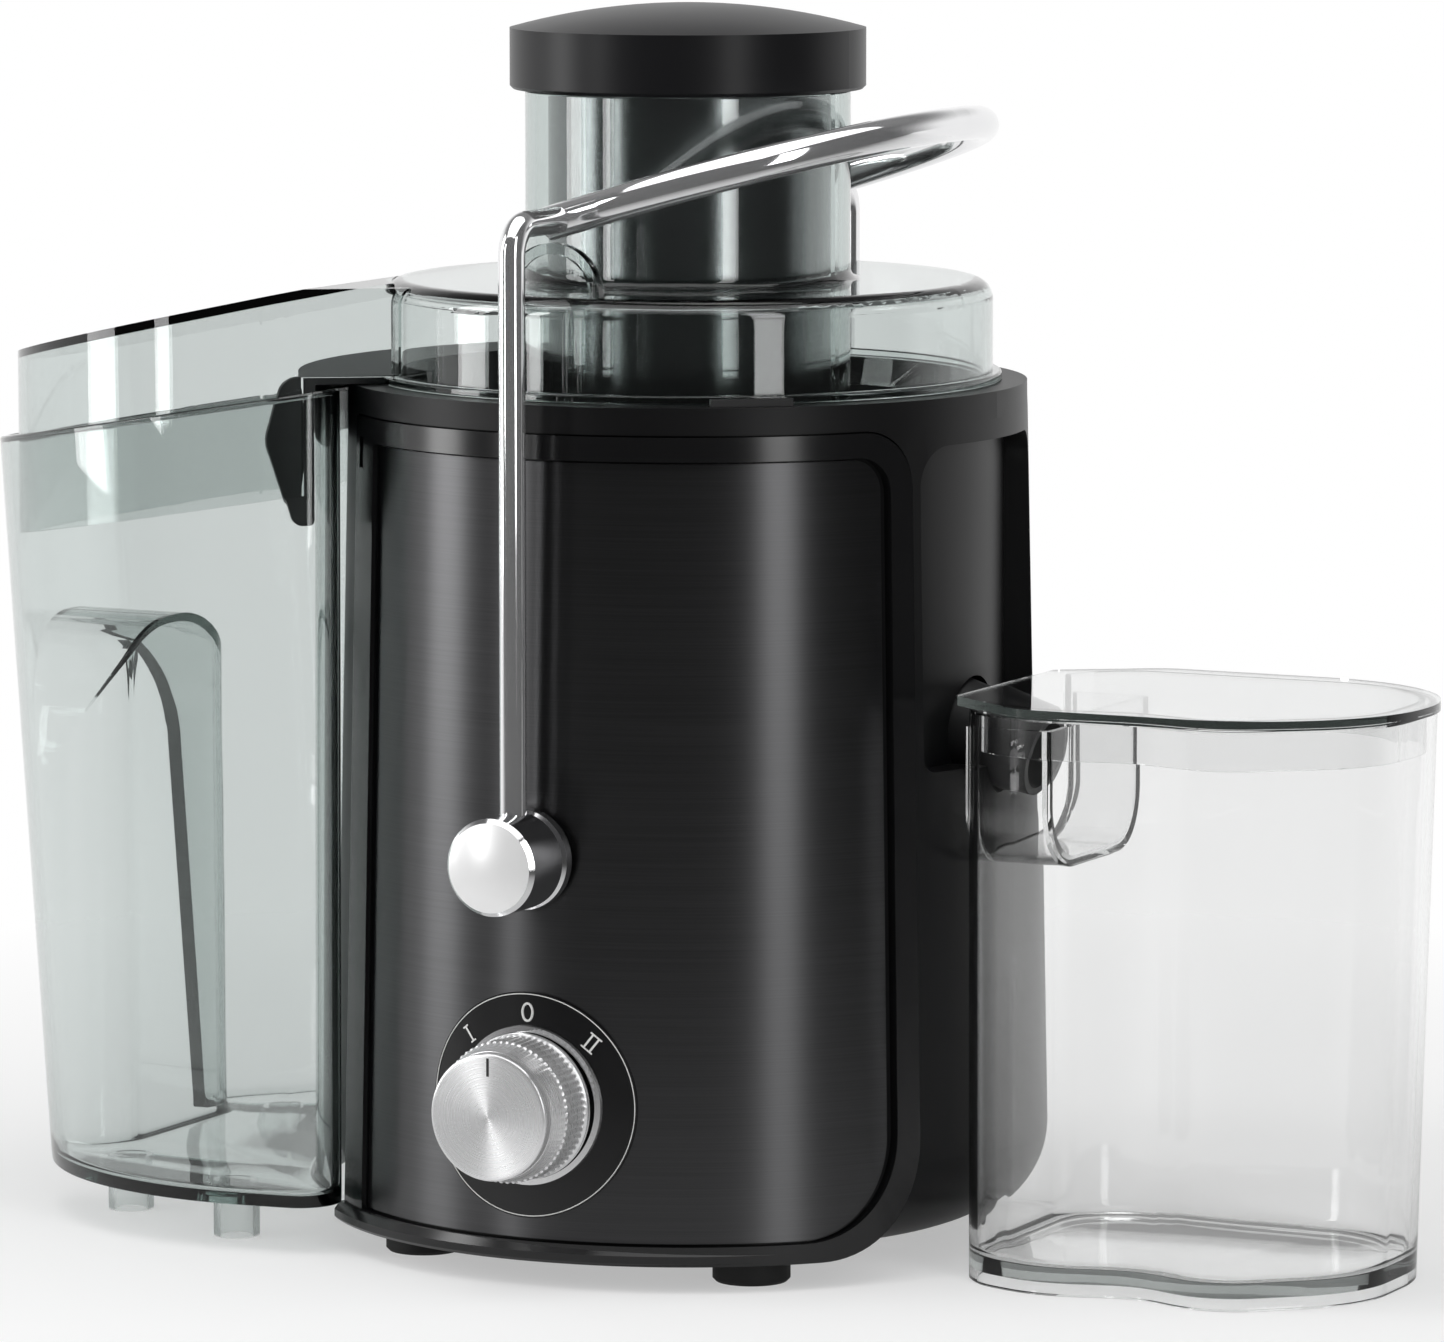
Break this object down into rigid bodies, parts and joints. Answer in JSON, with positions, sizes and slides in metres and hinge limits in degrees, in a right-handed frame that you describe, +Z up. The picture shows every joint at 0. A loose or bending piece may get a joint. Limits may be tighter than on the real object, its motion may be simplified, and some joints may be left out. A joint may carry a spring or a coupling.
{
  "type": "centrifugal juicer",
  "caption": "Upright centrifugal juicer with a feed chute and pusher, locking bail arm, speed knob, pulp container and lidded juice jug.",
  "frame": {"origin": "centre of the whole object's footprint, on the table", "axes": "+Z up, front (knob and panel) towards -Y, juice jug on +X, pulp container on -X"},
  "size_m": [0.381, 0.2143, 0.3063],
  "materials": {
    "black_plastic": "satin moulded",
    "gloss_black": "polished moulded",
    "dark_steel": "dark brushed, level grain",
    "chrome": "bright plated",
    "aluminium": "turned and brushed",
    "clear_plastic": "clear, faint grey-green",
    "rubber": "matt",
    "steel": "plain",
    "copper": "enamelled winding"
  },
  "bodies": {
    "base": {"base_housing": "black_plastic", "front_frame": "gloss_black", "front_panel": "dark_steel", "dial_plate": "gloss_black", "dial_bezel": "chrome", "rotary_switch": "black_plastic", "bottom_plate": "black_plastic", "rubber_feet": "rubber", "bottom_screws": "steel", "motor_stator": "steel", "field_coils": "copper", "lower_bracket": "aluminium", "upper_bracket": "aluminium", "lower_bearing": "steel", "upper_bearing": "steel", "motor_bushes": "rubber", "motor_screws": "steel", "brush_holders": "black_plastic", "interlock_switch": "black_plastic", "shaft_seal": "rubber", "front_arm_stud": "steel", "rear_arm_stud": "steel", "juice_bowl": "black_plastic", "bowl_gasket": "rubber", "lid": "clear_plastic"},
    "rotor": {"motor_shaft": "steel", "armature": "steel", "commutator": "copper", "cooling_fan": "black_plastic", "drive_coupling": "black_plastic", "filter_basket": "steel", "basket_rim": "black_plastic", "grater_disc": "steel", "basket_nut": "steel"},
    "arm": {"arm_front_leg": "chrome", "arm_rear_leg": "chrome", "arm_loop": "chrome", "front_pivot_cap": "chrome", "rear_pivot_cap": "chrome"},
    "knob": {"knob_body": "aluminium", "knob_cap": "aluminium", "knob_shaft": "steel"},
    "pusher": {"pusher_body": "gloss_black", "pusher_cap": "black_plastic"},
    "container": {"pulp_container": "clear_plastic"},
    "jug": {"juice_jug": "clear_plastic"},
    "jug_cover": {"jug_lid": "clear_plastic"}
  },
  "joints": [
    {"name": "rotor_spin", "type": "hinge", "parent": "base", "child": "rotor", "pos_m": [-0.00575, 0, 0.06], "axis": [0, 0, 1], "continuous": true},
    {"name": "arm_swing", "type": "hinge", "parent": "base", "child": "arm", "pos_m": [-0.00575, 0, 0.1045], "axis": [0, 1, 0], "range_deg": [0, 45]},
    {"name": "knob_turn", "type": "hinge", "parent": "base", "child": "knob", "pos_m": [-0.00575, -0.09, 0.0444], "axis": [0, -1, 0], "range_deg": [-50, 50]},
    {"name": "pusher_lift", "type": "slide", "parent": "base", "child": "pusher", "axis": [0, 0, 1], "range_m": [0, 0.1]},
    {"name": "container_tilt", "type": "hinge", "parent": "base", "child": "container", "pos_m": [-0.09455, 0, 0.205], "axis": [0, 1, 0], "range_deg": [0, 4]},
    {"name": "jug_pull", "type": "slide", "parent": "base", "child": "jug", "axis": [1, 0, 0], "range_m": [0, 0.12]},
    {"name": "jug_lid_lift", "type": "slide", "parent": "jug", "child": "jug_cover", "axis": [0, 0, 1], "range_m": [0, 0.015]}
  ]
}
